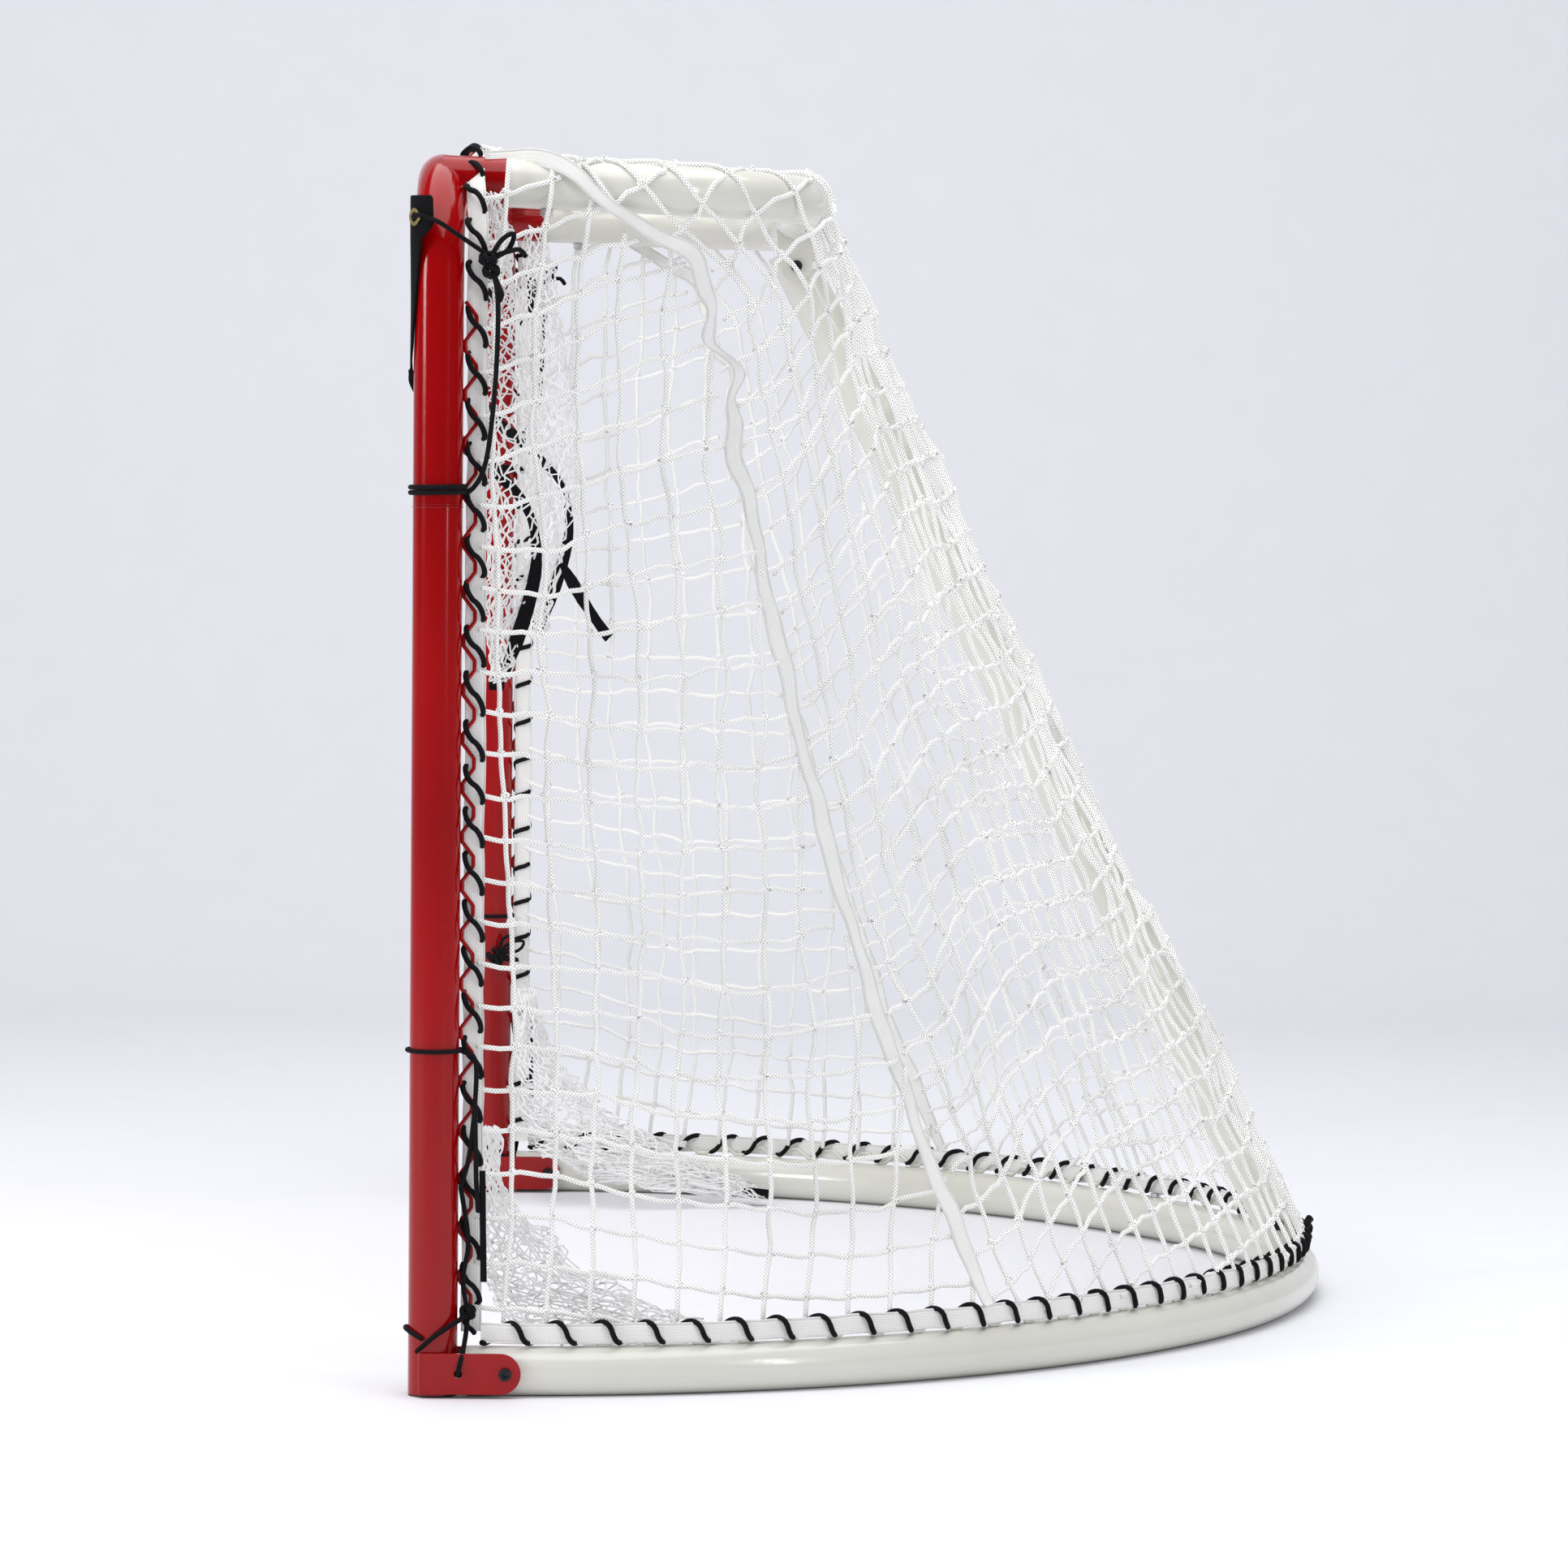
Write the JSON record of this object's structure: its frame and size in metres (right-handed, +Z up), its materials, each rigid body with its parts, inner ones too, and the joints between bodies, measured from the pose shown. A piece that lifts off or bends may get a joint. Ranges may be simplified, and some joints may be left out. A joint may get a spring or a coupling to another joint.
{
  "type": "ice hockey goal",
  "caption": "Free-standing ice hockey goal: red tube front frame, white tube shelf, base and rear brace, laced cord netting, corner shooting pockets and a fold-up base.",
  "frame": {"origin": "on the floor at the middle of the goal line, half way between the two post centres", "axes": "+Z up, +Y towards the back of the net, +X to the right seen from the front of the mouth"},
  "size_m": [1.9498, 1.017, 1.2818],
  "materials": {
    "red_enamel": "gloss red powder coat on steel tube",
    "white_enamel": "gloss off-white powder coat on steel tube",
    "bare_steel": "plain steel sleeve, hidden",
    "dark_bolt": "black oxide socket-head bolt",
    "plated_bolt": "bright zinc plate",
    "black_plastic": "moulded end plug",
    "white_cord": "braided netting cord",
    "white_tape": "woven binding tape",
    "black_cord": "round braided lacing cord",
    "black_webbing": "woven nylon webbing",
    "brass_eyelet": "pressed brass eyelet",
    "fine_mesh": "fine knotted white mesh"
  },
  "bodies": {
    "front_frame": {"post_left": "red_enamel", "post_right": "red_enamel", "corner_left": "red_enamel", "corner_right": "red_enamel", "crossbar": "red_enamel", "post_plugs": "black_plastic", "bracket_left": "red_enamel", "bracket_right": "red_enamel", "post_rail_left": "red_enamel", "post_rail_right": "red_enamel", "crossbar_rail": "red_enamel", "pivot_bolts": "dark_bolt", "pivot_nuts": "dark_bolt", "shelf_tube": "white_enamel", "shelf_bolts": "plated_bolt", "shelf_nuts": "plated_bolt", "head_bracket": "white_enamel", "head_bolt": "dark_bolt", "head_nut": "dark_bolt", "net_side_left": "white_cord", "net_side_right": "white_cord", "net_back": "white_cord", "net_top": "white_cord", "seam_tapes": "white_tape", "post_tape_left": "white_tape", "post_tape_right": "white_tape", "crossbar_tape": "white_tape", "post_lacing_left": "black_cord", "post_lacing_right": "black_cord", "crossbar_lacing": "black_cord", "pocket_top_left": "fine_mesh", "pocket_top_right": "fine_mesh", "pocket_bottom_left": "fine_mesh", "pocket_bottom_right": "fine_mesh", "pocket_webbing": "black_webbing", "pocket_grommets": "brass_eyelet", "pocket_cords": "black_cord"},
    "base": {"base_arm_left": "white_enamel", "base_arm_right": "white_enamel", "base_rear": "white_enamel", "base_sleeves": "bare_steel", "base_joint_bolts": "plated_bolt", "base_rail_left": "white_enamel", "base_rail_right": "white_enamel", "base_rail_rear": "white_enamel", "foot_bracket": "white_enamel", "foot_bolt": "dark_bolt", "foot_nut": "dark_bolt", "base_tape": "white_tape", "base_lacing": "black_cord"},
    "brace": {"brace_lower": "white_enamel", "brace_upper": "white_enamel"},
    "button": {"brace_button": "plated_bolt"}
  },
  "joints": [
    {"name": "base_fold", "type": "hinge", "parent": "front_frame", "child": "base", "pos_m": [0, 0.075, 0.0254], "axis": [1, 0, 0], "range_deg": [0, 80], "deforming": ["net_side_left", "net_side_right", "net_back", "seam_tapes", "base_tape", "base_lacing", "pocket_bottom_left", "pocket_bottom_right"]},
    {"name": "brace_swing", "type": "hinge", "parent": "base", "child": "brace", "pos_m": [0, 0.937, 0.076], "axis": [1, 0, 0], "range_deg": [0, 61.2]},
    {"name": "button_press", "type": "slide", "parent": "brace", "child": "button", "axis": [-1, 0, 0], "range_m": [0, 0.005]}
  ],
  "couplings": [
    {"joint": "brace_swing", "follows": "base_fold", "ratio": 0.765}
  ]
}
